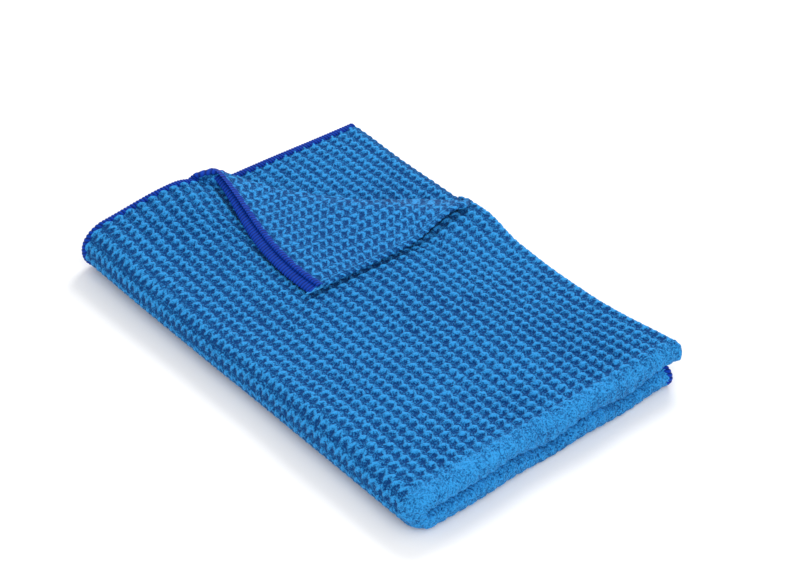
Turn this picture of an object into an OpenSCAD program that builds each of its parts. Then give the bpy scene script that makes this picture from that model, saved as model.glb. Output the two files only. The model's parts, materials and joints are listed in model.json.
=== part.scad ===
// Folded waffle-weave drying and polishing cloth with overlocked edges.
// One cloth is folded in half three times and lies flat. A corner of its top two plies is turned back.
// +X runs from the hemmed end to the folded end, +Y from the round side to the back, +Z is up.
// The origin is the middle of the bottom. Each half of the stack has four plies, numbered from outside (1) to inside (4).

/* [Cloth] */
// Length of the cloth laid flat, folded into quarters along Y
cloth_length = 800; // [720:8:880]
// Width of the cloth laid flat, folded in half along X
cloth_width = 600; // [540:6:660]
// Thickness of one ply of waffle weave
ply_t = 3.2; // [2.6:0.1:3.4]
// Air between two plies of one half
ply_gap = 0.15; // [0.1:0.05:0.4]
// Air between the upper half and the lower half
half_gap = 0.4; // [0.3:0.1:1]

/* [Overlocked hem] */
// Width of the stitched band along a cut edge
hem_w = 5; // [3:0.5:7]
// How far the hems of plies 2 and 3 stand out past those of plies 1 and 4
hem_step = 3; // [1:0.5:5]

/* [Fold offsets] */
// How far the inner pair of plies stands out past the outer pair at the back
back_step = 4; // [1:0.5:8]
// How far the lower half's cut edges lie back from the upper half's fold
lower_setback = 7; // [4:0.5:12]

/* [Turned corner] */
// Length of the two sides of the corner that is turned back
corner_side = 120; // [80:5:140]
// Height of the crease's centre line above the top ply
crease_lift = 1.5; // [0.5:0.1:3]

/* [Colours] */
// Waffle weave
weave_colour = "#2d7dc8";
// Underside of the weave
underside_colour = "#5096d2";
// Overlock thread
hem_colour = "#193cb4";

/* [Hidden] */
PLIES = 4;
BIG = 1000;
CREASE_GAP = 0.3;
RING_FN = 96;
ply_pitch = ply_t + ply_gap;
function r_in(ply) = half_gap / 2 + (PLIES - ply) * ply_pitch;
function r_out(ply) = r_in(ply) + ply_t;
mid_z = r_out(1);
stack_h = 2 * mid_z;
x_end = cloth_width / 4;
y_span = cloth_length / 4;
y_front = -(y_span + back_step) / 2;
y_inner_back = -y_front;
y_back = y_inner_back - back_step;
y_bend = y_front + mid_z;
// A fold of plies 1 and 4, one of plies 2 and 3, and a fold of two neighbours
end_r = (r_out(1) - r_in(4)) / 2;
pair_r = (r_out(2) - r_in(3)) / 2;
fold_centre_r = (r_out(1) + r_in(4)) / 2;
x_fold = x_end - end_r;
y_lower = y_back - lower_setback;
function x_hem(ply) = -x_end + (ply == 1 || ply == 4 ? hem_step : 0);
// The crease is the line y - x = crease_c, with the turned corner on its +X side
crease_c = y_back - corner_side - x_hem(1);
crease_z = stack_h + crease_lift;
x_tip = y_back - crease_c;
y_tip = x_hem(1) + crease_c;
function corner_y(ply) = x_hem(ply) + crease_c;
function corner_z(ply) = crease_z + crease_lift + (ply - 1) * ply_pitch;

function lower_z(ply) = mid_z - r_out(ply);
function upper_z(ply) = mid_z + r_in(ply);

// A flat piece with the given outline and the thickness of one ply
module slab(z, outline) {
    translate([0, 0, z])
        linear_extrude(ply_t)
            polygon(outline);
}

function rectangle(x0, x1, y0, y1) = [[x0, y0], [x1, y0], [x1, y1], [x0, y1]];

// Half a ring about the X direction through the round side, from x0 to x1
module side_ring(r0, r1, x0, x1) {
    translate([x0, y_bend, mid_z])
        rotate([90, 0, 90])
            rotate([0, 0, 90])
                rotate_extrude(angle = 180, $fn = RING_FN)
                    polygon(rectangle(r0, r1, 0, x1 - x0));
}

// Half a ring about the Y direction, bulging to +X at the folded end, from y0 to y1
module end_ring(r0, r1, z, y0, y1) {
    translate([x_fold, y1, z])
        rotate([90, 0, 0])
            rotate([0, 0, -90])
                rotate_extrude(angle = 180, $fn = RING_FN)
                    polygon(rectangle(r0, r1, 0, y1 - y0));
}

// Half a rod about the X direction, bulging to +Y at the back, from x0 to x1
module back_rod(r, y, z, x0, x1) {
    translate([x0, y, z])
        rotate([90, 0, 90])
            rotate([0, 0, -90])
                rotate_extrude(angle = 180, $fn = RING_FN)
                    polygon(rectangle(0, r, 0, x1 - x0));
}

// The section of a fold at the folded end, carried round the side bend
module end_bend(r0, r1) {
    translate([x_fold, y_bend, mid_z])
        rotate([90, 0, 90])
            rotate([0, 0, 90])
                rotate_extrude(angle = 180, $fn = RING_FN)
                    translate([fold_centre_r, 0])
                        difference() {
                            circle(r1, $fn = RING_FN);
                            circle(r0, $fn = RING_FN);
                            translate([-BIG, -2 * BIG])
                                square(2 * BIG);
                        }
}

module lower_sheet(ply) {
    color(weave_colour)
        slab(lower_z(ply), rectangle(x_hem(ply) + hem_w, x_fold, y_bend, y_lower - hem_w));
}

// A whole ply of the upper half, up to its fold at the back
module upper_inner_sheet(ply) {
    color(weave_colour)
        slab(upper_z(ply), rectangle(x_hem(ply) + hem_w, x_fold, y_bend, y_inner_back - pair_r));
}

// A ply of the upper half that stops at the crease of the turned corner
module upper_outer_sheet(ply) {
    x0 = x_hem(ply) + hem_w;
    y1 = y_back - pair_r;
    color(weave_colour)
        slab(upper_z(ply), [[x0, y_bend], [x_fold, y_bend], [x_fold, y1], [y1 - crease_c, y1], [x0, x0 + crease_c]]);
}

module side_bend(ply) {
    color(weave_colour)
        side_ring(r_in(ply), r_out(ply), x_hem(ply) + hem_w, x_fold);
}

module lower_hem(ply) {
    color(hem_colour)
        slab(lower_z(ply), rectangle(x_hem(ply), x_hem(ply) + hem_w, y_bend, y_lower));
}

module upper_inner_hem(ply) {
    color(hem_colour)
        slab(upper_z(ply), rectangle(x_hem(ply), x_hem(ply) + hem_w, y_bend, y_inner_back - pair_r));
}

// A hem of the upper half that stops at the crease
module upper_outer_hem(ply) {
    x0 = x_hem(ply);
    x1 = x0 + hem_w;
    color(hem_colour)
        slab(upper_z(ply), [[x0, y_bend], [x1, y_bend], [x1, x1 + crease_c], [x0, x0 + crease_c]]);
}

module bend_hem(ply) {
    color(hem_colour)
        side_ring(r_in(ply), r_out(ply), x_hem(ply), x_hem(ply) + hem_w);
}

module end_fold(r0, r1, z, y1) {
    color(weave_colour)
        end_ring(r0, r1, z, y_bend, y1);
}

module bend_end_fold(r0, r1) {
    color(weave_colour)
        end_bend(r0, r1);
}

module upper_back_fold_outer() {
    color(weave_colour)
        back_rod(pair_r, y_back - pair_r, upper_z(2) + pair_r, x_tip, x_fold);
}

module upper_back_fold_inner() {
    color(weave_colour)
        back_rod(pair_r, y_inner_back - pair_r, upper_z(4) + pair_r, x_hem(4), x_fold);
}

// The hem along the lower half's cut edges: two plies and the turn that joins them at the folded end
module lower_back_hem(r0, r1, ply_a, ply_b) {
    color(hem_colour)
        union() {
            for (ply = [ply_a, ply_b])
                slab(lower_z(ply), rectangle(x_hem(ply) + hem_w, x_fold, y_lower - hem_w, y_lower));
            end_ring(r0, r1, mid_z - fold_centre_r, y_lower - hem_w, y_lower);
        }
}

// A ply of the turned corner, between its hem, its folded edge and the crease
module corner_sheet(ply) {
    x1 = x_tip - pair_r;
    y0 = corner_y(ply) + hem_w;
    c = crease_c - CREASE_GAP;
    color(underside_colour)
        slab(corner_z(ply), [[y0 - c, y0], [x1, y0], [x1, x1 + c]]);
}

module corner_hem(ply) {
    x1 = x_tip - pair_r;
    y0 = corner_y(ply);
    y1 = y0 + hem_w;
    c = crease_c - CREASE_GAP;
    color(hem_colour)
        slab(corner_z(ply), [[y0 - c, y0], [x1, y0], [x1, y1], [y1 - c, y1]]);
}

// The fold that joins the corner's two plies, along its +X edge
module corner_fold_edge() {
    y1 = x_tip - pair_r + crease_c - 2 * CREASE_GAP;
    color(underside_colour)
        translate([x_tip - x_end + end_r - pair_r, 0, 0])
            end_ring(0, pair_r, corner_z(1) + pair_r, y_tip, y1);
}

// Half a ring along the crease, cut off at the cloth's two edges
module crease_roll(ply) {
    r0 = crease_lift + (ply - 1) * ply_pitch;
    length = 2 * corner_side;
    color(underside_colour)
        intersection() {
            translate([(x_hem(1) + x_tip) / 2, (y_tip + y_back) / 2, crease_z])
                rotate([0, 0, 45])
                    translate([-length / 2, 0, 0])
                        rotate([90, 0, 90])
                            rotate([0, 0, -90])
                                rotate_extrude(angle = 180, $fn = RING_FN)
                                    polygon(rectangle(r0, r0 + ply_t, 0, length));
            translate([x_hem(ply), -BIG, 0])
                cube([BIG, BIG + y_back, BIG]);
        }
}

lower_sheet(1);  // lower_sheet_1
lower_sheet(2);  // lower_sheet_2
lower_sheet(3);  // lower_sheet_3
lower_sheet(4);  // lower_sheet_4
upper_outer_sheet(1);  // upper_sheet_1
upper_outer_sheet(2);  // upper_sheet_2
upper_inner_sheet(3);  // upper_sheet_3
upper_inner_sheet(4);  // upper_sheet_4
side_bend(1);  // side_bend_1
side_bend(2);  // side_bend_2
side_bend(3);  // side_bend_3
side_bend(4);  // side_bend_4
lower_hem(1);  // lower_hem_1
lower_hem(2);  // lower_hem_2
lower_hem(3);  // lower_hem_3
lower_hem(4);  // lower_hem_4
upper_outer_hem(1);  // upper_hem_1
upper_outer_hem(2);  // upper_hem_2
upper_inner_hem(3);  // upper_hem_3
upper_inner_hem(4);  // upper_hem_4
bend_hem(1);  // bend_hem_1
bend_hem(2);  // bend_hem_2
bend_hem(3);  // bend_hem_3
bend_hem(4);  // bend_hem_4
end_fold(end_r - ply_t, end_r, mid_z - fold_centre_r, y_lower - hem_w);  // lower_end_fold_outer
end_fold(0, pair_r, mid_z - fold_centre_r, y_lower - hem_w);  // lower_end_fold_inner
end_fold(end_r - ply_t, end_r, mid_z + fold_centre_r, y_back);  // upper_end_fold_outer
end_fold(0, pair_r, mid_z + fold_centre_r, y_back);  // upper_end_fold_inner
bend_end_fold(end_r - ply_t, end_r);  // bend_end_fold_outer
bend_end_fold(0, pair_r);  // bend_end_fold_inner
upper_back_fold_outer();
upper_back_fold_inner();
lower_back_hem(end_r - ply_t, end_r, 1, 4);  // lower_back_hem_outer
lower_back_hem(0, pair_r, 2, 3);  // lower_back_hem_inner
corner_sheet(2);  // corner_sheet_upper
corner_sheet(1);  // corner_sheet_under
corner_hem(2);  // corner_hem_upper
corner_hem(1);  // corner_hem_under
corner_fold_edge();
crease_roll(2);  // crease_roll_outer
crease_roll(1);  // crease_roll_inner
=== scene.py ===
"""The looks of a folded waffle-weave polishing cloth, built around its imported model.

The cloth is one sheet folded in half three times, so every ply is a stretch of the same weave: flat, turned
round a fold, or rolled over at the turned corner. Lengths are in metres. Plies are numbered from the outside
of the stack (1) to its middle (4).
"""

import json
import math

import bpy
import numpy as np
from mathutils import Vector
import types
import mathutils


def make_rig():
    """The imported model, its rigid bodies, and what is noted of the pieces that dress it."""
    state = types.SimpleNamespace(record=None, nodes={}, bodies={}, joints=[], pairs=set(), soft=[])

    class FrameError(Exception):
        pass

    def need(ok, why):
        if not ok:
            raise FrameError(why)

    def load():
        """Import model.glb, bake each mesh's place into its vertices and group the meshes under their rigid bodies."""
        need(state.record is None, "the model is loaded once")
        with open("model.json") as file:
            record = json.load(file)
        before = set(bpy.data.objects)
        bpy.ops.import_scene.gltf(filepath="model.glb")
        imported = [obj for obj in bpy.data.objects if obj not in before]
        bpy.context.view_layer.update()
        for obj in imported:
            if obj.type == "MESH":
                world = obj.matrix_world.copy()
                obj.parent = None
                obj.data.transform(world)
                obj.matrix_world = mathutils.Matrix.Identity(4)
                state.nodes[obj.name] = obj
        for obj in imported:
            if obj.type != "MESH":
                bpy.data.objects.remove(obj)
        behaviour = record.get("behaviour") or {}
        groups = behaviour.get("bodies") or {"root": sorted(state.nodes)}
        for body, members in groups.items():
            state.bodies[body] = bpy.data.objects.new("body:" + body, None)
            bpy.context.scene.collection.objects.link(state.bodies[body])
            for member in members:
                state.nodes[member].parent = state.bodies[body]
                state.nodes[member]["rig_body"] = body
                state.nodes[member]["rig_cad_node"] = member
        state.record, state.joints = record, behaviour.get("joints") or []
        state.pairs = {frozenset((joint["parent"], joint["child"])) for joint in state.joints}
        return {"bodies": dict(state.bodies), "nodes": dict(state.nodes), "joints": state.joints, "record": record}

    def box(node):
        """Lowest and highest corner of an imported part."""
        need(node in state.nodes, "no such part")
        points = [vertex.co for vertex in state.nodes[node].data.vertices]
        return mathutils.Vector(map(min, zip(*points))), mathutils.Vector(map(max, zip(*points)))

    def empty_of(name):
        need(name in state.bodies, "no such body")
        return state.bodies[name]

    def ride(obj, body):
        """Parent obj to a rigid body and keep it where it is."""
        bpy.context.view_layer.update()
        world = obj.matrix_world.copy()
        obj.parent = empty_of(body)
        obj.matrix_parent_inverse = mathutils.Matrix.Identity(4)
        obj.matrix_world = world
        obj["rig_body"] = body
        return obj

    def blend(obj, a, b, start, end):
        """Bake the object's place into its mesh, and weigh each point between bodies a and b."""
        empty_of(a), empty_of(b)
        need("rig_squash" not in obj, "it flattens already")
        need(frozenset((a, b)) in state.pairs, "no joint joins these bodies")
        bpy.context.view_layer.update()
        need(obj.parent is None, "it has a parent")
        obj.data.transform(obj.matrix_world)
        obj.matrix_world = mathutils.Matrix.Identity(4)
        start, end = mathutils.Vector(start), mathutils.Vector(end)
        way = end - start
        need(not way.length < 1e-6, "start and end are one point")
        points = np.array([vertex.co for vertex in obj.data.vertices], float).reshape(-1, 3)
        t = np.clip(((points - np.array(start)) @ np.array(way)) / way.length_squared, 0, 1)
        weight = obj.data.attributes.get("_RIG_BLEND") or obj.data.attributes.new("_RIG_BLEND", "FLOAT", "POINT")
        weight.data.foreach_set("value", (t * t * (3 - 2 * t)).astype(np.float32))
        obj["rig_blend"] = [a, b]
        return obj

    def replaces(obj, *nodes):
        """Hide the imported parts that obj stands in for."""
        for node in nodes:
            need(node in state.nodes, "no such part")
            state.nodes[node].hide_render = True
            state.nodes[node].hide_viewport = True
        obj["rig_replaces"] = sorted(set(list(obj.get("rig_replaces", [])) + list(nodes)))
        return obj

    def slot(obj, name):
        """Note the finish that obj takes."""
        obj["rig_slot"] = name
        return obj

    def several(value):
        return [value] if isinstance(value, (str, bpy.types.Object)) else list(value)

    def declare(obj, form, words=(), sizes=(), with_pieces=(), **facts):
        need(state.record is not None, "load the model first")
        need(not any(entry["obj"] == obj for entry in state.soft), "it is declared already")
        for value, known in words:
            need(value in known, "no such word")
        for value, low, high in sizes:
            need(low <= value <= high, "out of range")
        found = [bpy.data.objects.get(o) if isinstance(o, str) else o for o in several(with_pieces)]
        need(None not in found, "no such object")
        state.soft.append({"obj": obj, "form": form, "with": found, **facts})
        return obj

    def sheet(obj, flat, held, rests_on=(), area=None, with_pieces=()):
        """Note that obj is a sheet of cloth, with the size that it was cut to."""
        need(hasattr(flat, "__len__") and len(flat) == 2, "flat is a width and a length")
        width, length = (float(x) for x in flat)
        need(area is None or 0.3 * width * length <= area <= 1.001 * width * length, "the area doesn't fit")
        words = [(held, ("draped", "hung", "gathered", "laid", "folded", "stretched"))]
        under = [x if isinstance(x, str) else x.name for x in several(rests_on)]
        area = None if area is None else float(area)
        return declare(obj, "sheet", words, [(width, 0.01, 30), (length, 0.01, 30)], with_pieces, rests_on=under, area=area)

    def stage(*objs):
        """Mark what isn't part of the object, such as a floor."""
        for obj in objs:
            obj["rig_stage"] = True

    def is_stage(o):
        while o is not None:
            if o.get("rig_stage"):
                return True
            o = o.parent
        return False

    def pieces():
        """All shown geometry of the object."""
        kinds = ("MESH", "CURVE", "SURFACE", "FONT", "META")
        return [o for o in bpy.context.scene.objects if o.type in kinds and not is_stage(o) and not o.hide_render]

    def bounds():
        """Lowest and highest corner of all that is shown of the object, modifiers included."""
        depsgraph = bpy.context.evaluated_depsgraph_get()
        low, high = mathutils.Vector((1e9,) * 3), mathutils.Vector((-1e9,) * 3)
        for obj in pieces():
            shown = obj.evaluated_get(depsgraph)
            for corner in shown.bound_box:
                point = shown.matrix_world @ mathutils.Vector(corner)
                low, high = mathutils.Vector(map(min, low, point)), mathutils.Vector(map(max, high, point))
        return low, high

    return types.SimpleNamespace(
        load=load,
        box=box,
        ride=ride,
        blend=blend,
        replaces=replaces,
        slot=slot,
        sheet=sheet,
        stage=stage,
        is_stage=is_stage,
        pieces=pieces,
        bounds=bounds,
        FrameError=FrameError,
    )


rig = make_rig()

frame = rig.load()
cad_box = [list(corner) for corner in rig.bounds()]

bl_info = {
    "name": "Folded waffle cloth",
    "version": (1, 0, 0),
    "blender": (4, 5, 0),
    "location": "3D View > Sidebar > Cloth",
    "description": "Makes a folded waffle-weave polishing cloth with overlocked hems around its packed frame",
    "category": "Add Mesh",
}

MM = 0.001
# A sheet's flat sides are stated as no less than this, beside its own area
NARROWEST = 10 * MM
# How deep the weave's pits are on a side that lies against another ply
HIDDEN = 0.45
# The same where the cloth turns round a fold, the side bend or the crease's roll, which pull the weave flat
AT_FOLD, AT_BEND, AT_ROLL = 0.4, 0.65, 0.25
# Least distance of a back side from the axis that its cloth turns round
THIN = 0.05 * MM
ROOT2 = math.sqrt(2)
PLIES = (1, 2, 3, 4)
joints = {joint["name"]: joint for joint in frame["joints"]}

# The stack, read from the frame
BEND_Y, MID_Z = joints["book_fold"]["pos_m"][1:]
SHEET_LOW, SHEET_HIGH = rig.box("upper_sheet_1")
PLY_T = SHEET_HIGH.z - SHEET_LOW.z
STACK_H = SHEET_HIGH.z
FOLD_X = SHEET_HIGH.x
END_R = (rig.box("upper_end_fold_outer")[1].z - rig.box("upper_end_fold_outer")[0].z) / 2
PAIR_R = (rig.box("upper_back_fold_outer")[1].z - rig.box("upper_back_fold_outer")[0].z) / 2
BACK_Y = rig.box("upper_end_fold_outer")[1].y
INNER_BACK_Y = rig.box("upper_back_fold_inner")[1].y
LOWER_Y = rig.box("lower_hem_1")[1].y
FRONT_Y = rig.box("side_bend_1")[0].y
HEM_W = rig.box("lower_hem_1")[1].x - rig.box("lower_hem_1")[0].x
# How far the cloth's own rim lies inside its hem's edge, and how far a hem stops short of a fold
TUCK, HEM_STOP = HEM_W * 0.7, PAIR_R * 0.6
# Distance of the folded end's centre line from the middle of the stack
END_CENTRE_R = STACK_H - END_R - MID_Z
# The folded end's two layers, and the radius of each one's middle surface
END_LAYERS = (("outer", END_R - PLY_T / 2), ("inner", PAIR_R / 2))
# Where the lower plies' cloth ends at the back, inside its hem, and where the upper plies' back folds start
LOWER_RIM, FOLD_START = LOWER_Y - TUCK, BACK_Y - PAIR_R

# The turned corner: its hinge lies on the line y - x = MIRROR_C
CREASE_X, CREASE_Y, CREASE_Z = joints["corner_turn"]["pos_m"]
MIRROR_C = CREASE_Y - CREASE_X
# The roll and the corner are pressed down: above this height, by this share
PRESS_FROM, PRESS = 29.5 * MM, 0.62
# Where the turned corner's hem starts along X, and how far it reaches to the tip
TIP_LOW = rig.box("corner_sheet_under")[0].x
TIP_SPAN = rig.box("corner_sheet_under")[1].x - TIP_LOW
# How far along X the crease's roll reaches
ROLL_REACH = 118 * MM


def hem_x(ply):
    """The cut edge of a ply at the hemmed end."""
    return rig.box(f"lower_hem_{ply}")[0].x


def cloth_x(ply):
    """Where a ply's own cloth starts, inside its hem."""
    return hem_x(ply) + TUCK


def ply_r(ply):
    """Distance of a ply's middle surface from the middle of the stack."""
    low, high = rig.box(f"upper_sheet_{ply}")
    return (low.z + high.z) / 2 - MID_Z


def crease_r(ply):
    """Radius of an upper ply's middle surface round the turned corner's roll."""
    return CREASE_Z - MID_Z - ply_r(ply)


# ---------------------------------------------------------------- sizes and colours a user would change


class WeaveLook(bpy.types.PropertyGroup):
    """The waffle weave"""

    cell_x: bpy.props.FloatProperty(name="Cell width", description="Waffle repeat along the long side",
                                    default=5.68 * MM, unit="LENGTH", precision=4)
    cell_y: bpy.props.FloatProperty(name="Cell length", description="Waffle repeat across the long side",
                                    default=7.3 * MM, unit="LENGTH", precision=4)
    depth: bpy.props.FloatProperty(name="Pit depth", description="How deep the waffle's pits are",
                                   default=1.5 * MM, unit="LENGTH", precision=4)
    ridge: bpy.props.FloatVectorProperty(name="Ridge", description="Colour of the raised floats",
                                         default=(0.028, 0.30, 0.71), subtype="COLOR")
    # The pit colour is painted shade: the cloth is one blue, and this darker colour stands in for the shade in its
    # pits.
    pit_shade: bpy.props.FloatVectorProperty(name="Pit", description="Colour at the bottom of the pits",
                                       default=(0.000, 0.040, 0.17), subtype="COLOR")
    under_ridge: bpy.props.FloatVectorProperty(name="Underside ridge",
                                               description="Colour of the raised floats on the underside",
                                               default=(0.026, 0.285, 0.69), subtype="COLOR")


class HemLook(bpy.types.PropertyGroup):
    """The overlocked hem"""

    thread: bpy.props.FloatVectorProperty(name="Thread", description="Colour of the overlock thread",
                                          default=(0.002, 0.045, 0.40), subtype="COLOR")
    # The groove colour is painted shade: the thread is one blue, and this darker colour stands in for the shade
    # between its ribs.
    groove_shade: bpy.props.FloatVectorProperty(name="Groove", description="Colour between the threads",
                                          default=(0.000, 0.005, 0.07), subtype="COLOR")
    stitch: bpy.props.FloatProperty(name="Stitch pitch", description="Distance from thread to thread",
                                    default=2.0 * MM, unit="LENGTH", precision=4)


class StageLook(bpy.types.PropertyGroup):
    """The floor, lights and camera"""

    azimuth: bpy.props.FloatProperty(name="Camera azimuth", description="Angle round the cloth",
                                     default=math.radians(51.0), subtype="ANGLE")
    elevation: bpy.props.FloatProperty(name="Camera elevation", description="Angle above the floor",
                                       default=math.radians(37.1), subtype="ANGLE")
    distance: bpy.props.FloatProperty(name="Camera distance", description="From the target on the floor",
                                      default=1.298, unit="LENGTH")
    lens: bpy.props.FloatProperty(name="Lens", description="Focal length in millimetres", default=100.0)


# ---------------------------------------------------------------- shape of the cloth


def rounded(run):
    """A full quarter oval's height: 1 until run is 0, and nearly 0 where run is 1."""
    return (1 - np.clip(run, 0, 0.9999) ** 4) ** 0.25


def smooth(start, end, value):
    """0 before start, 1 after end, and a smooth step between."""
    t = np.clip((value - start) / (end - start), 0, 1)
    return t * t * (3 - 2 * t)


def settle(p):
    """How the soft stack lies: a smooth warp of space, the same for every piece, so plies never cross.

    In turn: the stack waves a little, the turned corner is pressed down, the hemmed end rises in a round
    back, a low hump lifts the upper plies behind the corner, and the seam between the halves wanders at the
    folded end. Then the turned corner is pulled askew, the sides sway, and the back and the folded end bow in
    and out. Heights are scaled by the share of the stack below them, so the bottom stays on the floor.
    """
    rise, rise_y = 11 * MM, -42 * MM
    hump, hump_x, hump_width = 2.5 * MM, -18 * MM, 16 * MM
    seam_dip, seam_pitch = 19 * MM, 9.5 * MM
    x, y, z = p[..., 0], p[..., 1], p[..., 2]
    share = np.clip(z / STACK_H, 0, 1.2)
    front = smooth(-40 * MM, FRONT_Y, y)
    hem_end = smooth(-70 * MM, -145 * MM, x)
    fold_end = smooth(70 * MM, 150 * MM, x)
    wave = 0.5 * np.sin(38 * x + 21 * y + 0.6) + 0.4 * np.sin(55 * y - 30 * x + 2.0)
    wave += 0.25 * np.sin(90 * x + 1.2)
    height = z * (1 - 0.06 * front * (1 - hem_end)) + 1.1 * MM * wave * share**2
    height -= (PRESS + 0.27 * hem_end) * np.maximum(z - PRESS_FROM, 0)
    fall = np.where(y < rise_y, 41 * MM, 23 * MM)
    height += rise * hem_end * share * np.exp(-(((y - rise_y) / fall) ** 2))
    height += hump * np.exp(-(((x - hump_x) / hump_width) ** 2)) * smooth(55 * MM, 95 * MM, y) * share
    seam = (0.5 + 0.5 * np.sin(y / seam_pitch + 1.75)) * smooth(-60 * MM, -25 * MM, y)
    height -= seam_dip * fold_end * seam * share * np.maximum(1 - share, 0)
    moved_x, moved_y = skew(x, y, z)
    sway = 0.8 * MM * np.sin(31 * x + 0.9) + 0.4 * MM * np.sin(83 * x)
    # Nothing that lies behind the bend's line moves past it, so the halves open without cutting each other
    past_bend = smooth(BEND_Y, FRONT_Y, y)
    moved_y += sway * share * (past_bend + smooth(60 * MM, BACK_Y, y))
    slant = 4.5 * (x + 110 * MM) / 250 - 1.5 * MM
    moved_y += front * np.maximum(slant, 0) + past_bend * np.minimum(slant, 0)
    drawn = 5 * smooth(-12 * MM, 22 * MM, x) + 1 + 1.5 * smooth(-100 * MM, -50 * MM, x)
    drawn *= 1 - smooth(80 * MM, 150 * MM, x)
    moved_y -= drawn * MM * smooth(20 * MM, BACK_Y, y) * smooth(0.35, 0.8, share)
    bow = 2.4 * (1 - smooth(30 * MM, 75 * MM, y)) - 0.6 + 3.6 * (1 - smooth(-70 * MM, 0, y))
    moved_x += fold_end * smooth(-106 * MM, -88 * MM, y) * bow * MM
    return np.stack([moved_x, moved_y, height], -1)


def skew(x, y, z):
    """The turned corner's plan, pulled askew: its tip out over the stack and its hem in a bow.

    The pull acts on the corner and the roll, and fades out in the plies below, away from the crease. The
    corner's lower ply also reaches further over its hem side than the upper one. Pulls are in millimetres.
    """
    across = np.clip((x - TIP_LOW) / TIP_SPAN, 0, 1.1)
    up = np.clip((y - TIP_LOW - MIRROR_C) / TIP_SPAN, 0, 1.1)
    inside = (MIRROR_C - 20 * MM - (y - x)) / ROOT2
    near = (1 - smooth(0, 45 * MM, inside)) * (1 - smooth(0.5, 0.85, up))
    near *= smooth(20.4 * MM, 22 * MM, z)
    pull = np.maximum(near, smooth(STACK_H + 0.4 * MM, STACK_H + 1.6 * MM, z))
    stagger = np.clip(2.8 * (z - 30.6 * MM), -5 * MM, 5 * MM) * (1 - smooth(-15 * MM, 25 * MM, y))
    pull_x = 3 + 11 * across - 8 * across * smooth(0.55, 1, up)
    pull_y = (7 - 17 * across) * (1 - 0.6 * smooth(0.75, 1.05, up))
    pull_y -= 4.5 * np.sin(math.pi * np.minimum(across, 1) ** 1.8) * (1 - smooth(0, 0.6, up))
    return x + pull * pull_x * MM, y + pull * (pull_y * MM + stagger)


def roll_start(radius):
    """The line y - x = c on the flat cloth where a ply of this radius starts to roll over the crease."""
    return MIRROR_C - math.pi * radius / ROOT2


def roll_span(radius):
    """Where the crease's bend starts and ends for a ply of the roll: over its own height once pressed."""
    top = CREASE_Z + radius
    top -= PRESS * max(top - PRESS_FROM, 0)
    low = CREASE_Z - radius
    trim = 0.06 * (top - low)
    return {"start": (CREASE_X, CREASE_Y, low + trim), "end": (CREASE_X, CREASE_Y, top - trim)}


def stack_point(x, turn, radius):
    """A point round the stack's soft side: a circle about the bend's line, from below (0) to above (pi)."""
    return np.stack([x, BEND_Y - radius * np.sin(turn), MID_Z - radius * np.cos(turn)], -1)


def corner_point(x, y, radius, out):
    """A point of the turned corner's plies, given where it lies on the flat cloth.

    Up to its own start line the ply is flat. Then it rolls half a turn about the crease, on a circle of the
    given radius plus out. Past that it lies face down on the stack, towards the middle, and sags a little.
    """
    run = (y - x - MIRROR_C) / ROOT2 + math.pi * radius / 2
    turn = np.clip(run / radius, 0, math.pi)
    past = np.maximum(run - math.pi * radius, 0)
    rolled = np.maximum(run, 0)
    throw = (radius + out) * np.sin(turn) - past - rolled
    height = CREASE_Z - (radius + out) * np.cos(turn) - 1.2 * MM * smooth(0, 45 * MM, past)
    return np.stack([x - throw / ROOT2, y + throw / ROOT2, height], -1)


# The floats of the weave are ovals, one long and one short to a cell. For each: its centre in cells, the two
# rows that turn an offset in cells into radii along and across it, and its height. The third oval, with its
# height below 0, is a painted shadow under the long float, which only the material shows.
FACE_FLOATS = (
    (0.0, 0.0, (1.20, 1.88), (3.75, -2.20), 1.0),
    (0.542, 0.099, (4.00, 6.25), (1.45, -1.55), 0.85),
    (0.462, -0.242, (2.00, 3.14), (2.86, -3.06), -0.4),
)
BACK_FLOATS = (
    (0.0, 0.0, (1.50, 1.59), (-1.70, 4.80), 1.0),
    (0.090, 0.432, (4.60, 4.85), (-1.15, 1.78), 0.85),
    (-0.311, 0.359, (2.45, 2.58), (-2.38, 3.68), -0.4),
)


def floats(x, y, ovals):
    """Height from 0 to 1 of one side of the weave: the greatest of its raised ovals, which repeat every cell.

    An oval's height is full inside half its radius and falls smoothly to nothing at 1.25 radii.
    """
    look = bpy.context.scene.weave_look
    height = np.zeros(np.broadcast(x, y).shape)
    for p0, q0, along, across, top in ovals:
        p, q = x / look.cell_x - p0, y / look.cell_y - q0
        p, q = p - np.round(p), q - np.round(q)
        reach = np.hypot(along[0] * p + along[1] * q, across[0] * p + across[1] * q)
        height = np.maximum(height, top * (1 - smooth(0.5, 1.25, reach)))
    return height


def waffle(x, y):
    """Height of the cloth's face."""
    return floats(x, y, FACE_FLOATS)


def underside(x, y):
    """Height of the cloth's underside, which shows the same floats from behind."""
    return floats(x, y, BACK_FLOATS)


def nap(x, y):
    """Small uneven height of the soft yarns: crossed waves of unlike lengths, bent by each other."""
    a = np.sin(x / (0.61 * MM) + 2.1 * np.sin(y / (0.83 * MM)) + np.sin(y / (9.1 * MM)))
    b = np.sin(y / (0.53 * MM) + 1.7 * np.sin(x / (1.27 * MM)) + np.sin(x / (7.3 * MM)))
    return 0.06 * MM * (a + b)


def relief(height, x, y, share=1.0):
    """Distance of the cloth's face from its middle surface, from the weave's height and place.

    share scales the pits where the weave is pulled flat or lies against another ply.
    """
    depth = bpy.context.scene.weave_look.depth
    return PLY_T / 2 - share * depth * (1 - height) + nap(x, y)


# ---------------------------------------------------------------- meshes


def outward(points, faces):
    """Faces in the order that makes the closed mesh's volume positive."""
    volume = 0.0
    for corner in range(1, faces.shape[1] - 1):
        a, b, c = points[faces[:, 0]], points[faces[:, corner]], points[faces[:, corner + 1]]
        volume += np.einsum("ij,ij->", a, np.cross(b, c))
    return faces if volume > 0 else faces[:, ::-1]


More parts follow.
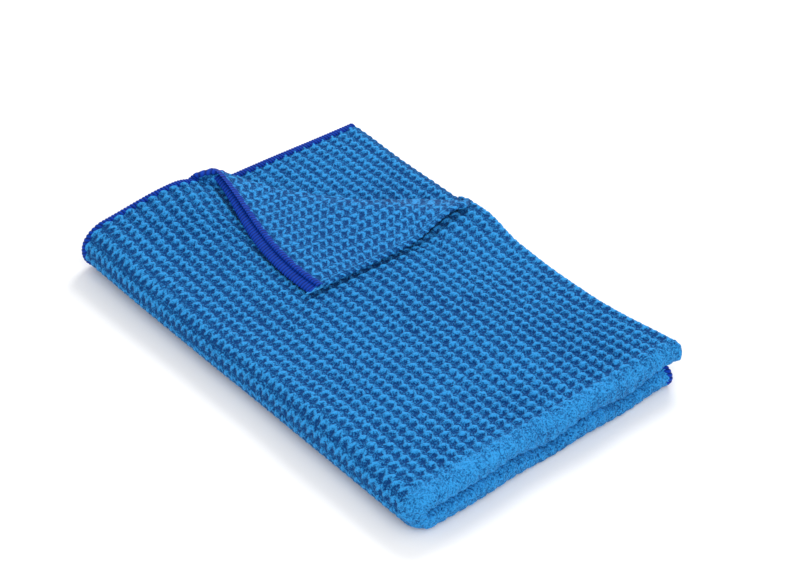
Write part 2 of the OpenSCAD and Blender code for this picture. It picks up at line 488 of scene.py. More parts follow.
def new_piece(name, points, faces, height, flat, material, creases=None):
    """A mesh object with smooth faces, the weave's height as an attribute and its flat place as a UV map.

    creases are pairs of vertices whose edges stay sharp.
    """
    mesh = bpy.data.meshes.new(name)
    mesh.vertices.add(len(points))
    mesh.vertices.foreach_set("co", points.astype(np.float32).ravel())
    corners = faces.shape[1]
    mesh.loops.add(faces.size)
    mesh.loops.foreach_set("vertex_index", faces.astype(np.int32).ravel())
    mesh.polygons.add(len(faces))
    mesh.polygons.foreach_set("loop_start", np.arange(0, faces.size, corners, dtype=np.int32))
    mesh.update(calc_edges=True)
    mesh.polygons.foreach_set("use_smooth", np.ones(len(faces), bool))
    mesh.attributes.new("weave_height", "FLOAT", "POINT").data.foreach_set("value", height.astype(np.float32))
    layer = mesh.uv_layers.new(name="flat_cloth")
    layer.data.foreach_set("uv", flat[faces.ravel()].astype(np.float32).ravel())
    if creases is not None:
        ends = np.empty(len(mesh.edges) * 2, np.int32)
        mesh.edges.foreach_get("vertices", ends)
        sharp = np.isin(pair_key(ends.reshape(-1, 2), len(points)), pair_key(creases, len(points)))
        mesh.attributes.new("sharp_edge", "BOOLEAN", "EDGE").data.foreach_set("value", sharp)
    mesh.validate()
    mesh.materials.append(material)
    piece = bpy.data.objects.new(name, mesh)
    bpy.context.scene.collection.objects.link(piece)
    return piece


def pair_key(pairs, count):
    """One number for each pair of vertices, whichever comes first."""
    return pairs.min(1).astype(np.int64) * count + pairs.max(1)


def cloth_solid(name, face, back, heights, flat, material, keep=None):
    """Two grids, the face and the back of a stretch of cloth, closed with a wall along their rim.

    keep says which of the grid's squares are there. A rim edge is one that only one kept square uses.
    """
    rows, columns = face.shape[:2]
    count = rows * columns
    index = np.arange(count).reshape(rows, columns)
    squares = np.stack([index[:-1, :-1], index[1:, :-1], index[1:, 1:], index[:-1, 1:]], -1)
    squares = squares.reshape(-1, 4) if keep is None else squares[keep]
    edges = np.concatenate([squares[:, [i, (i + 1) % 4]] for i in range(4)])
    _, first, uses = np.unique(pair_key(edges, count), return_index=True, return_counts=True)
    rim = edges[first[uses == 1]]
    wall = np.stack([rim[:, 1], rim[:, 0], rim[:, 0] + count, rim[:, 1] + count], -1)
    faces = np.concatenate([squares, squares[:, ::-1] + count, wall])
    points = np.concatenate([face.reshape(-1, 3), back.reshape(-1, 3)])
    height = np.concatenate([heights[0].ravel(), heights[1].ravel()])
    place = np.tile(flat.reshape(-1, 2), (2, 1))
    used, faces = np.unique(faces, return_inverse=True)
    faces = faces.reshape(-1, 4)
    points = settle(points[used])
    creases = np.searchsorted(used, np.concatenate([rim, rim + count]))
    return new_piece(name, points, outward(points, faces), height[used], place[used], material, creases)


def tube_solid(name, rings, heights, flat, material):
    """A closed tube through rings of points, with a flat cap at each end."""
    count, around = rings.shape[:2]
    index = np.arange(count * around).reshape(count, around)
    following = np.roll(index, -1, 1)
    sides = np.stack([index[:-1], index[1:], following[1:], following[:-1]], -1).reshape(-1, 4)
    points = np.concatenate([rings.reshape(-1, 3), rings[[0, -1]].mean(1)])
    caps = []
    for end, centre in ((0, count * around), (-1, count * around + 1)):
        middle = np.full(around // 2, centre)
        fan = np.stack([index[end, 0::2], index[end, 1::2], np.roll(index[end, 0::2], -1), middle], -1)
        caps.append(fan[:, ::-1] if end == -1 else fan)
    faces = np.concatenate([sides, *caps])
    height = np.concatenate([heights.ravel(), [0.5, 0.5]])
    place = np.concatenate([flat.reshape(-1, 2), flat[[0, -1], 0]])
    points = settle(points)
    return new_piece(name, points, outward(points, faces), height, place, material)


def grid(rows, columns):
    """Two whole grids, from the places of the rows and of the columns."""
    return np.meshgrid(rows, columns, indexing="ij")


def steps(start, end, cell, per_cell):
    """Evenly spaced places from start to end, about per_cell of them to each cell of the weave."""
    return np.linspace(start, end, max(2, round(abs(end - start) / cell * per_cell) + 1))


# ---------------------------------------------------------------- materials

# Waves to the metre of the fabric's noises: single fibres, tufts, blotches of open loops and broad shades
FIBRES, TUFTS, BLOTCHES, SHADES = 1500.0, 950.0, 130.0, 16.0


class Wire:
    """A shader socket that can be added, multiplied and mixed in a Python expression."""

    def __init__(self, tree, socket):
        self.tree, self.socket = tree, socket

    def node(self, kind, settings=None, out=0, **values):
        """Any node: its type, its settings, then the values or wires of its sockets. Returns one output."""
        node = self.tree.nodes.new(kind)
        for key, value in (settings or {}).items():
            setattr(node, key, value)
        for key, value in values.items():
            socket = node.inputs[int(key[1:])] if key[1:].isdigit() else node.inputs[key.replace("_", " ")]
            if isinstance(value, Wire):
                self.tree.links.new(value.socket, socket)
            else:
                socket.default_value = value
        return Wire(self.tree, node.outputs[out])

    def maths(self, operation, a, b):
        """One operation of the Math node."""
        return self.node("ShaderNodeMath", {"operation": operation}, i0=a, i1=b)

    def __add__(self, other):
        return self.maths("ADD", self, other)

    def __sub__(self, other):
        return self.maths("SUBTRACT", self, other)

    def __rsub__(self, other):
        return self.maths("SUBTRACT", other, self)

    def __mul__(self, other):
        return self.maths("MULTIPLY", self, other)

    def __rmul__(self, other):
        return self.maths("MULTIPLY", other, self)


def colour(rgb):
    """A colour with its alpha."""
    return (*rgb, 1.0)


def blend_colours(factor, low, high):
    """Low where the factor is 0 and high where it is 1."""
    settings = {"data_type": "RGBA", "clamp_factor": True}
    return factor.node("ShaderNodeMix", settings, out=2, i0=factor, i6=low, i7=high)


def cells_of(start):
    """The place on the flat cloth, counted in cells along X and along Y."""
    look = bpy.context.scene.weave_look
    flat = start.node("ShaderNodeUVMap", {"uv_map": "flat_cloth"})
    apart = flat.node("ShaderNodeSeparateXYZ", Vector=flat)
    x, y = apart, Wire(apart.tree, apart.socket.node.outputs[1])
    return x * (1 / look.cell_x), y * (1 / look.cell_y)


def drawn_floats(start, ovals):
    """The same ovals as floats() makes, drawn finely and unevenly: about 1 on a float and 0 in a pit. The low values
    paint shade in the pits, and the oval of height below 0 paints a shadow under each long float.
    """
    p, q = cells_of(start)
    place = start.node("ShaderNodeTexCoord", out=3)
    stray_p = start.node("ShaderNodeTexNoise", Vector=place, Scale=190.0, Detail=1.0)
    stray_q = start.node("ShaderNodeTexNoise", Vector=place, Scale=230.0, Detail=1.0)
    p, q = p + (stray_p - 0.5) * 0.45, q + (stray_q - 0.5) * 0.35
    level = None
    for p0, q0, along, across, top in ovals:
        i, j = p - p0, q - q0
        i, j = i - i.maths("ROUND", i, 0.0), j - j.maths("ROUND", j, 0.0)
        a, b = i * along[0] + j * along[1], i * across[0] + j * across[1]
        reach = a * a + b * b
        oval = reach.node("ShaderNodeClamp", Value=1.13 - reach * 0.95) * top
        if level is None:
            level = oval
        else:
            # An oval of height below 0 is subtracted: a painted shadow under the long float.
            level = level.maths("MAXIMUM", level, oval) if top > 0 else level + oval
    return level * 0.92 + 0.14


def fabric_material(name, pit_shade, ridge, ovals):
    """Soft looped microfibre: pits darker and deeper in colour than ridges, as painted shade, with fine fibres as
    bump.

    At the folded end the loops stand open, so the weave gives way to a speckle; its lighter tone is painted light on
    the brightly lit end folds.
    """
    material = bpy.data.materials.new(name)
    material.use_nodes = True
    tree = material.node_tree
    shader = tree.nodes["Principled BSDF"]
    start = Wire(tree, None)
    place = start.node("ShaderNodeTexCoord", out=3)
    height = start.node("ShaderNodeAttribute", {"attribute_name": "weave_height"}, out=2)
    fine = start.node("ShaderNodeTexNoise", Vector=place, Scale=FIBRES, Detail=2.0, Roughness=0.6)
    tuft = start.node("ShaderNodeTexNoise", Vector=place, Scale=TUFTS, Detail=2.0)
    broad = start.node("ShaderNodeTexNoise", Vector=place, Scale=SHADES, Detail=2.0)
    blotch = start.node("ShaderNodeTexNoise", Vector=place, Scale=BLOTCHES, Detail=2.0)
    weave = drawn_floats(start, ovals) * 0.75 + height * 0.25
    x = place.node("ShaderNodeSeparateXYZ", Vector=place)
    open_loops_and_painted_light = x.node("ShaderNodeClamp", Value=(x - (FOLD_X - 3 * MM)) * 140.0, Max=0.8)
    speckle = (tuft - 0.5) * 2.6 + (fine - 0.5) * 1.8 + (broad - 0.5) * 0.4
    # At the folded end the open-loop speckle replaces the weave, and the 0.22 lift is painted light on the end's lit
    # folds.
    level = weave + open_loops_and_painted_light * (blotch + 0.22 - weave) + speckle
    # Painted shade: the pit colour darkens the cloth where the weave's level is low, in its pits.
    tree.links.new(blend_colours(level, colour(pit_shade), colour(ridge)).socket, shader.inputs["Base Color"])
    roughness = 0.98 - 0.12 * level
    tree.links.new(roughness.socket, shader.inputs["Roughness"])
    pile = fine * 0.35 + tuft * 0.6 + weave * 0.5
    bump = start.node("ShaderNodeBump", Height=pile, Strength=0.9, Distance=0.8 * MM)
    tree.links.new(bump.socket, shader.inputs["Normal"])
    shader.inputs["Specular IOR Level"].default_value = 0.15
    shader.inputs["Sheen Weight"].default_value = 0.1
    shader.inputs["Sheen Roughness"].default_value = 0.45
    shader.inputs["Sheen Tint"].default_value = (0.35, 0.6, 1.0, 1.0)
    return material


def thread_material(name, groove_shade, thread):
    """Smooth filament thread: a soft gloss along the ribs, and painted shade in the grooves between them."""
    material = bpy.data.materials.new(name)
    material.use_nodes = True
    tree = material.node_tree
    shader = tree.nodes["Principled BSDF"]
    start = Wire(tree, None)
    place = start.node("ShaderNodeTexCoord", out=3)
    height = start.node("ShaderNodeAttribute", {"attribute_name": "weave_height"}, out=2)
    fine = start.node("ShaderNodeTexNoise", Vector=place, Scale=2600.0, Detail=2.0)
    patch = start.node("ShaderNodeTexNoise", Vector=place, Scale=260.0, Detail=1.0)
    level = height + (fine - 0.5) * 0.4 + (patch - 0.5) * 0.4
    # Painted shade: the groove colour darkens the thread between its ribs.
    tree.links.new(blend_colours(level, colour(groove_shade), colour(thread)).socket, shader.inputs["Base Color"])
    roughness = 0.62 - 0.1 * patch
    tree.links.new(roughness.socket, shader.inputs["Roughness"])
    bump = start.node("ShaderNodeBump", Height=fine, Strength=0.4, Distance=0.2 * MM)
    tree.links.new(bump.socket, shader.inputs["Normal"])
    shader.inputs["Specular IOR Level"].default_value = 0.08
    return material


def finish_of(slot):
    """The finished material of one of the record's slots, made once."""
    name = f"{slot}_finish"
    if name in bpy.data.materials:
        return bpy.data.materials[name]
    weave, hem = bpy.context.scene.weave_look, bpy.context.scene.hem_look
    if slot == "overlock_thread":
        return thread_material(name, hem.groove_shade, hem.thread)
    if slot == "waffle_underside":
        return fabric_material(name, weave.pit_shade, weave.under_ridge, BACK_FLOATS)
    return fabric_material(name, weave.pit_shade, weave.ridge, FACE_FLOATS)


# ---------------------------------------------------------------- stretches of cloth


def flat_sheet(name, ply, half, cells, y_end, keep=None):
    """A flat ply. Its face looks away from the middle of the stack, and both faces carry the weave."""
    look = bpy.context.scene.weave_look
    x = steps(cloth_x(ply), FOLD_X, look.cell_x, cells[0])
    x, y = grid(x, steps(BEND_Y, y_end, look.cell_y, cells[1]))
    height, under = waffle(x, y), underside(x, y)
    sign = 1 if half == "upper" else -1
    middle = MID_Z + sign * ply_r(ply)
    # The weave flattens towards the folds and the bend
    calm = 1 - (1 - AT_FOLD) * smooth(FOLD_X - 10 * MM, FOLD_X, x)
    calm = np.minimum(calm, 1 - (1 - AT_BEND) * (1 - smooth(BEND_Y, BEND_Y + 18 * MM, y)))
    calm = np.minimum(calm, 1 - (1 - AT_FOLD) * smooth(y_end - 8 * MM, y_end, y))
    face = np.stack([x, y, middle + sign * relief(height, x, y, calm)], -1)
    back = np.stack([x, y, middle - sign * relief(under, x, y, HIDDEN)], -1)
    chosen = None
    if keep is not None:
        chosen = keep((x[1:, 1:] + x[:-1, :-1]) / 2, (y[1:, 1:] + y[:-1, :-1]) / 2)
    place = np.stack([x, y], -1)
    piece = cloth_solid(name, face, back, (height, under), place, finish_of("waffle_weave"), chosen)
    return piece, (FOLD_X - cloth_x(ply), y_end - BEND_Y)


def declare(piece, slot, flat, rests_on, area=None):
    """A stretch of the folded cloth, with its size when laid flat. A narrow one is stated by its area."""
    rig.slot(piece, slot)
    area = flat[0] * flat[1] if area is None else area
    flat = [max(side, NARROWEST) for side in flat]
    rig.sheet(piece, flat=flat, held="folded", rests_on=rests_on, area=area)


def blend_round_side(piece, ply):
    """The piece turns between the halves over this ply's own height."""
    low = MID_Z - ply_r(ply)
    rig.blend(piece, "lower_half", "upper_half", start=(0, BEND_Y, low), end=(0, BEND_Y, 2 * MID_Z - low))


class CLOTH_OT_flat_plies(bpy.types.Operator):
    """The flat stretches of the plies"""

    bl_idname = "cloth.flat_plies"
    bl_label = "Flat plies"

    def execute(self, context):
        fine, middling, plain = (6, 7), (4, 5), (2, 2)
        for ply in PLIES:
            outer = ply < 3
            start_c = roll_start(crease_r(ply))
            keep = (lambda x, y: y - x < start_c) if outer else None
            y_end = FOLD_START if outer else INNER_BACK_Y - PAIR_R
            cells = {1: fine, 2: plain, 3: (5, 6), 4: middling}[ply]
            piece, flat = flat_sheet(f"cloth_upper_{ply}", ply, "upper", cells, y_end, keep)
            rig.ride(piece, "upper_half")
            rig.replaces(piece, f"upper_sheet_{ply}")
            # The outer plies lack the corner that is turned back, about a seventh of them
            declare(piece, "waffle_weave", flat, ["lower_sheet_4" if ply == 4 else f"upper_sheet_{ply + 1}"],
                    flat[0] * flat[1] * (0.86 if outer else 1))
        for ply in PLIES:
            cells = {1: middling, 2: plain, 3: plain, 4: middling}[ply]
            piece, flat = flat_sheet(f"cloth_lower_{ply}", ply, "lower", cells, LOWER_RIM)
            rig.ride(piece, "lower_half")
            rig.replaces(piece, f"lower_sheet_{ply}")
            declare(piece, "waffle_weave", flat, [f"lower_sheet_{ply - 1}"] if ply > 1 else [])
        return {"FINISHED"}


class CLOTH_OT_side_roll(bpy.types.Operator):
    """The nested bends along the round side, and the folded end's turn round them"""

    bl_idname = "cloth.side_roll"
    bl_label = "Round side"

    def execute(self, context):
        look = context.scene.weave_look
        for ply in PLIES:
            radius = ply_r(ply)
            cells = (6, 7) if ply == 1 else (3, 4)
            x = steps(cloth_x(ply), FOLD_X, look.cell_x, cells[0])
            x, turn = grid(x, steps(0, math.pi, look.cell_y / radius, cells[1]))
            along = BEND_Y - (math.pi - turn) * radius
            height, under = waffle(x, along), underside(x, along)
            face = stack_point(x, turn, radius + relief(height, x, along, AT_BEND))
            inward = np.minimum(relief(under, x, along, HIDDEN), radius - 2 * THIN)
            back = stack_point(x, turn, radius - inward)
            piece = cloth_solid(f"cloth_bend_{ply}", face, back, (height, under), np.stack([x, along], -1),
                                finish_of("waffle_weave"))
            blend_round_side(piece, ply)
            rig.replaces(piece, f"side_bend_{ply}")
            declare(piece, "waffle_weave", (FOLD_X - cloth_x(ply), math.pi * radius), ["lower_sheet_1"])
        for layer, radius in END_LAYERS:
            self.end_turn(layer, radius)
        return {"FINISHED"}

    def end_turn(self, layer, radius):
        """The folded end carried round the side bend: half a ring of cloth swept round the bend's line."""
        look = bpy.context.scene.weave_look
        thick = min(PLY_T / 2, radius - THIN)
        tilt = steps(-math.pi / 2, math.pi / 2, look.cell_x / radius, 6)
        tilt, turn = grid(tilt, steps(0, math.pi, look.cell_y / ply_r(1), 7))
        around, along = FOLD_X + (math.pi / 2 - tilt) * radius, BEND_Y - (math.pi - turn) * ply_r(1)
        height = waffle(around, along)
        out = relief(height, around, along, AT_FOLD) - PLY_T / 2 + thick
        face, back = (stack_point(FOLD_X + r * np.cos(tilt), turn, END_CENTRE_R + r * np.sin(tilt))
                      for r in (radius + out, radius - thick))
        piece = cloth_solid(f"cloth_end_turn_{layer}", face, back, (height, height),
                            np.stack([around, along], -1), finish_of("waffle_weave"))
        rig.blend(piece, "lower_half", "upper_half", start=(0, BEND_Y, 0), end=(0, BEND_Y, STACK_H))
        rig.replaces(piece, f"bend_end_fold_{layer}")
        declare(piece, "waffle_weave", (math.pi * radius, math.pi * END_CENTRE_R), ["lower_sheet_1"])


class CLOTH_OT_end_folds(bpy.types.Operator):
    """The folds at the +X end and along the back"""

    bl_idname = "cloth.end_folds"
    bl_label = "End and back folds"

    def execute(self, context):
        for layer, radius in END_LAYERS:
            for half, sign, y_end in (("upper", 1, BACK_Y), ("lower", -1, LOWER_RIM)):
                self.end_fold(layer, radius, half, sign, y_end)
        self.back_fold("outer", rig.box("upper_back_fold_outer"), BACK_Y)
        self.back_fold("inner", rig.box("upper_back_fold_inner"), INNER_BACK_Y)
        return {"FINISHED"}

    def end_fold(self, layer, radius, half, sign, y_end):
        """Half a ring of cloth about the Y direction. The upper half's closes to a round nose at the back."""
        look = bpy.context.scene.weave_look
        thick = min(PLY_T / 2, radius - THIN)
        tilt = steps(-math.pi / 2, math.pi / 2, look.cell_x / radius, 6)
        tilt, y = grid(tilt, steps(BEND_Y, y_end, look.cell_y, 7))
        around = FOLD_X + (math.pi / 2 - tilt) * radius
        height = waffle(around, y)
        nose = rounded((y - y_end + END_R / 2) / (END_R / 2)) if sign > 0 else 1
        out = (radius + relief(height, around, y, AT_FOLD) - PLY_T / 2 + thick) * nose
        inner = (radius - thick) * nose
        centre = MID_Z + sign * END_CENTRE_R
        face, back = (np.stack([FOLD_X + r * np.cos(tilt), y, centre + sign * r * np.sin(tilt)], -1)
                      for r in (out, inner))
        piece = cloth_solid(f"cloth_{half}_end_{layer}", face, back, (height, height),
                            np.stack([around, y], -1), finish_of("waffle_weave"))
        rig.ride(piece, f"{half}_half")
        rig.replaces(piece, f"{half}_end_fold_{layer}")
        declare(piece, "waffle_weave", (math.pi * radius, y_end - BEND_Y), [f"{half}_sheet_4"])

    def back_fold(self, layer, box, y_end):
        """Half a ring of cloth about the X direction, which joins two neighbouring plies."""
        look = bpy.context.scene.weave_look
        low, high = box
        radius, centre = PAIR_R - PLY_T / 2, (low.z + high.z) / 2
        x_start = low.x - (10 * MM if layer == "outer" else 0)
        x_round = FOLD_X - (0 if layer == "outer" else 6 * MM)
        tip = steps(x_round, x_round + 0.8 * END_R, look.cell_x, 12)
        x = np.concatenate([steps(x_start, x_round, look.cell_x, 6)[:-1], tip])
        x, tilt = grid(x, steps(-math.pi / 2, math.pi / 2, look.cell_y / PAIR_R, 8))
        along = y_end - PAIR_R + (math.pi / 2 - tilt) * radius
        height = waffle(x, along)
        nose = rounded((x - x_round) / (0.8 * END_R)) * rounded((x_start - x) / (6 * MM) + 1)
        out, inner = (radius + relief(height, x, along, AT_FOLD)) * nose, THIN * nose
        face, back = (np.stack([x, y_end - PAIR_R + r * np.cos(tilt), centre + r * np.sin(tilt)], -1)
                      for r in (out, inner))
        piece = cloth_solid(f"cloth_back_{layer}", face, back, (height, height), np.stack([x, along], -1),
                            finish_of("waffle_weave"))
        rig.ride(piece, "upper_half")
        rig.replaces(piece, f"upper_back_fold_{layer}")
        declare(piece, "waffle_weave", (FOLD_X - x_start, math.pi * PAIR_R / 2), ["upper_sheet_3"])


class CLOTH_OT_turned_corner(bpy.types.Operator):
    """The corner turned back, its roll along the crease and its folded edge"""

    bl_idname = "cloth.turned_corner"
    bl_label = "Turned corner"

    def execute(self, context):
        for ply, name, roll in ((1, "under", "inner"), (2, "upper", "outer")):
            self.flap(ply, name)
            self.roll(ply, roll)
        self.edge()
        return {"FINISHED"}

    def mapped(self, name, ply, x, y, keep=None):
        """A ply of the corner: flat cloth, laid over the crease. The weave lies flatter along the roll."""
        radius = crease_r(ply)
        height, under = waffle(x, y), underside(x, y)
        past = (y - x - MIRROR_C) / ROOT2 - math.pi * radius / 2
        calm = AT_ROLL + (1 - AT_ROLL) * smooth(0, 9 * MM, past)
        calm = np.minimum(calm, 1 - (1 - AT_FOLD) * smooth(FOLD_START - 8 * MM, FOLD_START, y))
        face = corner_point(x, y, radius, -relief(height, x, y, np.minimum(calm, HIDDEN)))
        back = corner_point(x, y, radius, relief(under, x, y, calm))
        return cloth_solid(name, face, back, (height, under), np.stack([x, y], -1),
                           finish_of("waffle_underside"), keep)

    def flap(self, ply, name):
        """The part of a ply that lies face down, past the roll: a triangle."""
        look = bpy.context.scene.weave_look
        radius = crease_r(ply)
        reach = ROOT2 * math.pi * radius
        start_c = roll_start(radius)
        x_low, y_high = cloth_x(ply), FOLD_START
        x = steps(x_low, y_high - start_c - reach, look.cell_x, 5)
        x, y = grid(x, steps(x_low + start_c + reach, y_high, look.cell_y, 6))
        keep = ((y[:-1, 1:] + y[1:, :-1]) / 2 - (x[:-1, 1:] + x[1:, :-1]) / 2) > start_c + reach
        piece = self.mapped(f"cloth_corner_{name}", ply, x, y, keep)
        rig.ride(piece, "turned_corner")
        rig.replaces(piece, f"corner_sheet_{name}")
        flat = (float(x.max() - x.min()), float(y.max() - y.min()))
        declare(piece, "waffle_underside", flat, ["upper_sheet_1"], 0.5 * flat[0] * flat[1])

    def roll(self, ply, name):
        """A strip along the crease, a little longer than half a turn, between the ply's two edges."""
        look = bpy.context.scene.weave_look
        radius = crease_r(ply)
        lap = 1.2 * MM
        run = steps(-lap, math.pi * radius + lap, look.cell_x, 7)
        part = steps(0, 1, look.cell_x / (ROLL_REACH * ROOT2), 6)
        run, part = grid(run, part)
        offset = roll_start(radius) + run * ROOT2
        x_low, x_high = cloth_x(ply), FOLD_START - offset
        x = x_low + (x_high - x_low) * part
        y = x + offset
        piece = self.mapped(f"cloth_crease_{name}", ply, x, y)
        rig.blend(piece, "upper_half", "turned_corner", **roll_span(radius))
        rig.replaces(piece, f"crease_roll_{name}")
        flat = (math.pi * radius + 2 * lap, ROLL_REACH * ROOT2)
        declare(piece, "waffle_underside", flat, ["upper_sheet_1"])

    def edge(self):
        """The folded edge of the corner's two plies: half a ring about it, carried over the crease."""
        look = bpy.context.scene.weave_look
        radius = (crease_r(1) + crease_r(2)) / 2
        start_c = roll_start(radius)
        reach = ROOT2 * math.pi * radius
        x_crease = FOLD_START - start_c
        bend = PAIR_R - PLY_T / 2
        parts = (("flap", hem_x(1), x_crease - reach), ("roll", x_crease - reach, x_crease))
        for name, x_from, x_to in parts:
            x = steps(x_from, x_to, look.cell_x, 6)
            x, tilt = grid(x, steps(-math.pi / 2, math.pi / 2, look.cell_y / PAIR_R, 8))
            along = FOLD_START + (math.pi / 2 + tilt) * bend
            height = underside(x, along)
            out = bend + relief(height, x, along, AT_FOLD)
            face = self.edge_point(x, out * np.cos(tilt), radius, out * np.sin(tilt))
            back = self.edge_point(x, THIN * np.cos(tilt), radius, THIN * np.sin(tilt))
            piece = cloth_solid(f"cloth_edge_{name}", face, back, (height, height), np.stack([x, along], -1),
                                finish_of("waffle_underside"))
            if name == "flap":
                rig.ride(piece, "turned_corner")
                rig.replaces(piece, "corner_fold_edge")
            else:
                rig.blend(piece, "upper_half", "turned_corner", **roll_span(radius))
            # The stretch over the crease is stated wider than it is flat, near the area it is stretched to
            width = math.pi * PAIR_R / (2 if name == "flap" else 1.35)
            declare(piece, "waffle_underside", (x_to - x_from, width), ["upper_sheet_1"])

    def edge_point(self, x, proud, radius, out):
        """The edge's centre line goes over the crease as the cloth does, and the ring stands out from it."""
        centre = corner_point(x, FOLD_START, radius, out)
        run = (FOLD_START - x - MIRROR_C) / ROOT2 + math.pi * radius / 2
        swing = math.pi / 2 * np.clip(run / (math.pi * radius), 0, 1)
        return centre + np.stack([proud * np.sin(swing), proud * np.cos(swing), 0 * proud], -1)


# ---------------------------------------------------------------- overlocked hems

# Vertices round a hem's bead, and half its width as a share of the hem's: on the stack and on the corner
AROUND = 20
BROAD, SLIM = 0.48, 0.4


def thread_rib(along, angle):
    """Height from 0 to 1 of the thread on the hem's bead: close ribs that lean as they go over the edge."""
    stitch = bpy.context.scene.hem_look.stitch
    lean = 0.35 * np.sin(angle) + 0.25 * np.cos(angle)
    return np.abs(np.cos(math.pi * (along / stitch + lean)))


def bead(along, angle, half_width=BROAD):
    """The hem's section, as in-plane and out-of-plane offsets: a flattened round with thread ribs on it."""
    rib = thread_rib(along, angle)
    swell = 1 + 0.24 * (rib - 0.6)
    return half_width * HEM_W * np.cos(angle) * swell, 0.54 * PLY_T * np.sin(angle) * swell, rib


def along_and_around(length):
    """Grid of places along a hem, eight to a stitch, and angles round its bead."""
    stitch = bpy.context.scene.hem_look.stitch
    return grid(steps(0, length, stitch, 8), np.linspace(0, 2 * math.pi, AROUND, endpoint=False))


class CLOTH_OT_hems(bpy.types.Operator):
    """The overlocked hems"""

    bl_idname = "cloth.hems"
    bl_label = "Overlocked hems"

    def execute(self, context):
        for ply in PLIES:
            self.end_hem(ply)
        self.back_hems()
        for ply, name in ((2, "upper"), (1, "under")):
            self.corner_hem(ply, name)
        return {"FINISHED"}

    def finish(self, name, points, along, angle, rib):
        """A hem's tube, with its flat place, thread and slot."""
        place = np.stack([along, angle * PLY_T / 2], -1)
        piece = tube_solid(name, points, rib, place, finish_of("overlock_thread"))
        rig.slot(piece, "overlock_thread")
        return piece

    def end_hem(self, ply):
        """A hem at the hemmed end: along the lower ply, round the bend and along the upper ply."""
        radius = ply_r(ply)
        lower = LOWER_Y - BEND_Y
        upper_end = self.crease_start(ply) if ply < 3 else INNER_BACK_Y - HEM_STOP
        round_end = lower + math.pi * radius
        parts = (
            (f"hem_lower_{ply}", 0, lower, f"lower_hem_{ply}", "lower_half"),
            (f"hem_bend_{ply}", lower, round_end, f"bend_hem_{ply}", None),
            (f"hem_upper_{ply}", round_end, round_end + upper_end - BEND_Y, f"upper_hem_{ply}", "upper_half"),
        )
        for name, start, end, node, body in parts:
            along, angle = along_and_around(end - start)
            along = along + start
            inward, out, rib = bead(along, angle)
            turn = np.clip((along - lower) / radius, 0, math.pi)
            out = np.maximum(out, THIN - radius)
            points = stack_point(hem_x(ply) + HEM_W / 2 - inward, turn, radius + out)
            points[..., 1] += np.maximum(lower - along, 0) + np.maximum(along - round_end, 0)
            piece = self.finish(name, points, along, angle, rib)
            if body:
                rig.ride(piece, body)
            else:
                blend_round_side(piece, ply)
            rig.replaces(piece, node)

    def crease_start(self, ply):
        """Where a hem at the hemmed end reaches the roll of the turned corner."""
        return hem_x(ply) + HEM_W / 2 + roll_start(crease_r(ply))

    def back_hems(self):
        """The lower half's hems at the back: along one ply, round the folded end and back along the other."""
        for ply, (layer, radius) in zip((1, 2), END_LAYERS):
            straight = FOLD_X - hem_x(ply) - HEM_W
            length = 2 * straight + math.pi * radius
            along, angle = along_and_around(length)
            inward, out, rib = bead(along, angle)
            turn = np.clip((along - straight) / radius, 0, math.pi)
            reach = np.maximum(straight - along, 0) + np.maximum(along - straight - math.pi * radius, 0)
            r = radius + np.maximum(out, THIN - radius)
            points = np.stack([FOLD_X - reach + r * np.sin(turn), LOWER_Y - HEM_W / 2 + inward,
                               MID_Z - END_CENTRE_R - r * np.cos(turn)], -1)
            piece = self.finish(f"hem_back_{layer}", points, along, angle, rib)
            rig.ride(piece, "lower_half")
            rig.replaces(piece, f"lower_back_hem_{layer}")

    def corner_hem(self, ply, name):
        """The hem carried over the crease and along the turned corner."""
        radius = crease_r(ply)
        start = self.crease_start(ply)
        roll_end = start + ROOT2 * math.pi * radius
        for part, y_from, y_to in (("crease", start, roll_end), ("corner", roll_end, BACK_Y - HEM_STOP)):
            along, angle = along_and_around(y_to - y_from)
            inward, out, rib = bead(along, angle, SLIM)
            points = corner_point(hem_x(ply) + HEM_W / 2 - inward, y_from + along, radius, out)
            piece = self.finish(f"hem_{part}_{name}", points, along, angle, rib)
            if part == "corner":
                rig.ride(piece, "turned_corner")
                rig.replaces(piece, f"corner_hem_{name}")
            else:
                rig.blend(piece, "upper_half", "turned_corner", **roll_span(radius))


# ---------------------------------------------------------------- stage

# The point on the floor that the camera looks at, and half the floor's side
TARGET, FLOOR = (-16 * MM, 31 * MM, 0), 4.0
PAPER, SKY = 0.92, 0.85
# The square soft lights: name, place, side and power
LIGHTS = (("key", (-0.6, 1.0, 1.2), 0.6, 13), ("fill", (1.1, -0.5, 1.0), 1.2, 8))


def area_light(name, place, size, power):
    """A square soft light that looks at the cloth."""
    data = bpy.data.lights.new(name, "AREA")
    data.size, data.energy = size, power
    light = bpy.data.objects.new(name, data)
    light.location = place
    light.rotation_euler = (-Vector(place)).to_track_quat("-Z", "Y").to_euler()
    bpy.context.scene.collection.objects.link(light)


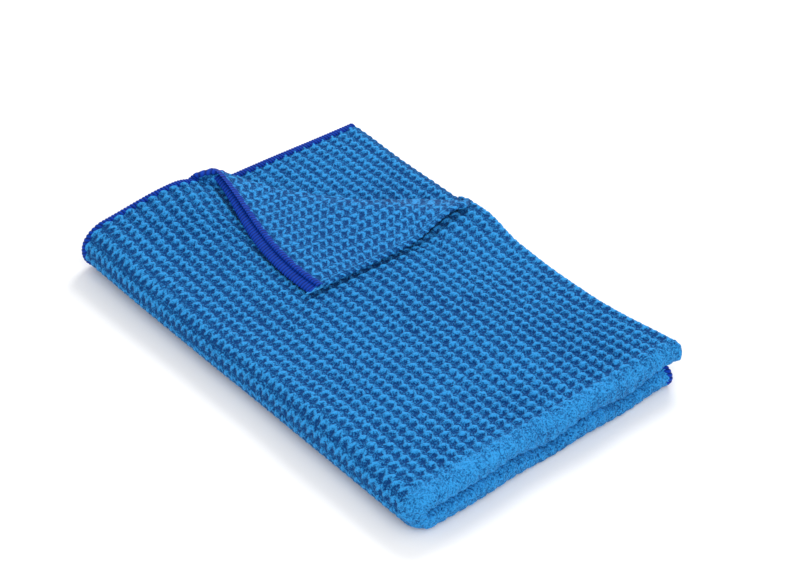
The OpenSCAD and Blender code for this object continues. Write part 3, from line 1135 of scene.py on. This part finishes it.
class CLOTH_OT_stage(bpy.types.Operator):
    """The pale floor, the soft lights and the camera"""

    bl_idname = "cloth.stage"
    bl_label = "Stage"

    def execute(self, context):
        look = context.scene.stage_look
        a, e = look.azimuth, look.elevation
        back = Vector((math.sin(a) * math.cos(e), -math.cos(a) * math.cos(e), math.sin(e)))
        data = bpy.data.cameras.new("camera")
        data.lens, data.sensor_width = look.lens, 36.0
        camera = bpy.data.objects.new("camera", data)
        camera.location = Vector(TARGET) + back * look.distance
        camera.rotation_mode = "QUATERNION"
        camera.rotation_quaternion = (-back).to_track_quat("-Z", "Y")
        context.scene.collection.objects.link(camera)
        context.scene.camera = camera

        corners = [(-FLOOR, -FLOOR, 0), (FLOOR, -FLOOR, 0), (FLOOR, FLOOR, 0), (-FLOOR, FLOOR, 0)]
        mesh = bpy.data.meshes.new("floor")
        mesh.from_pydata(corners, [], [(0, 1, 2, 3)])
        floor = bpy.data.objects.new("floor", mesh)
        paper = bpy.data.materials.new("paper")
        paper.use_nodes = True
        shader = paper.node_tree.nodes["Principled BSDF"]
        shader.inputs["Base Color"].default_value = (PAPER, PAPER, PAPER, 1)
        shader.inputs["Roughness"].default_value = 0.9
        shader.inputs["Specular IOR Level"].default_value = 0.1
        mesh.materials.append(paper)
        context.scene.collection.objects.link(floor)
        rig.stage(floor)

        world = bpy.data.worlds.new("studio")
        world.use_nodes = True
        world.node_tree.nodes["Background"].inputs["Color"].default_value = (1, 1, 1, 1)
        world.node_tree.nodes["Background"].inputs["Strength"].default_value = SKY
        context.scene.world = world
        for light in LIGHTS:
            area_light(*light)
        context.scene.view_settings.view_transform = "Standard"
        return {"FINISHED"}


class CLOTH_PT_panel(bpy.types.Panel):
    """Buttons for each group of pieces"""

    bl_label = "Folded waffle cloth"
    bl_idname = "CLOTH_PT_panel"
    bl_space_type = "VIEW_3D"
    bl_region_type = "UI"
    bl_category = "Cloth"

    def draw(self, context):
        for operator in OPERATORS:
            self.layout.operator(operator.bl_idname)
        for look in (context.scene.weave_look, context.scene.hem_look, context.scene.stage_look):
            for name in look.__annotations__:
                self.layout.prop(look, name)


OPERATORS = (
    CLOTH_OT_stage,
    CLOTH_OT_flat_plies,
    CLOTH_OT_side_roll,
    CLOTH_OT_end_folds,
    CLOTH_OT_turned_corner,
    CLOTH_OT_hems,
)
LOOKS = {"weave_look": WeaveLook, "hem_look": HemLook, "stage_look": StageLook}


def register():
    for group in (*LOOKS.values(), *OPERATORS, CLOTH_PT_panel):
        bpy.utils.register_class(group)
    for name, group in LOOKS.items():
        setattr(bpy.types.Scene, name, bpy.props.PointerProperty(type=group))


def unregister():
    for name in LOOKS:
        delattr(bpy.types.Scene, name)
    for group in (*LOOKS.values(), *OPERATORS, CLOTH_PT_panel):
        bpy.utils.unregister_class(group)


def main():
    register()
    bpy.ops.cloth.stage()
    bpy.ops.cloth.flat_plies()
    bpy.ops.cloth.side_roll()
    bpy.ops.cloth.end_folds()
    bpy.ops.cloth.turned_corner()
    bpy.ops.cloth.hems()
    with open("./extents.json", "w") as file:
        json.dump({"cad": cad_box, "visual": [list(corner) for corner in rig.bounds()]}, file)


if __name__ == "__main__":
    main()
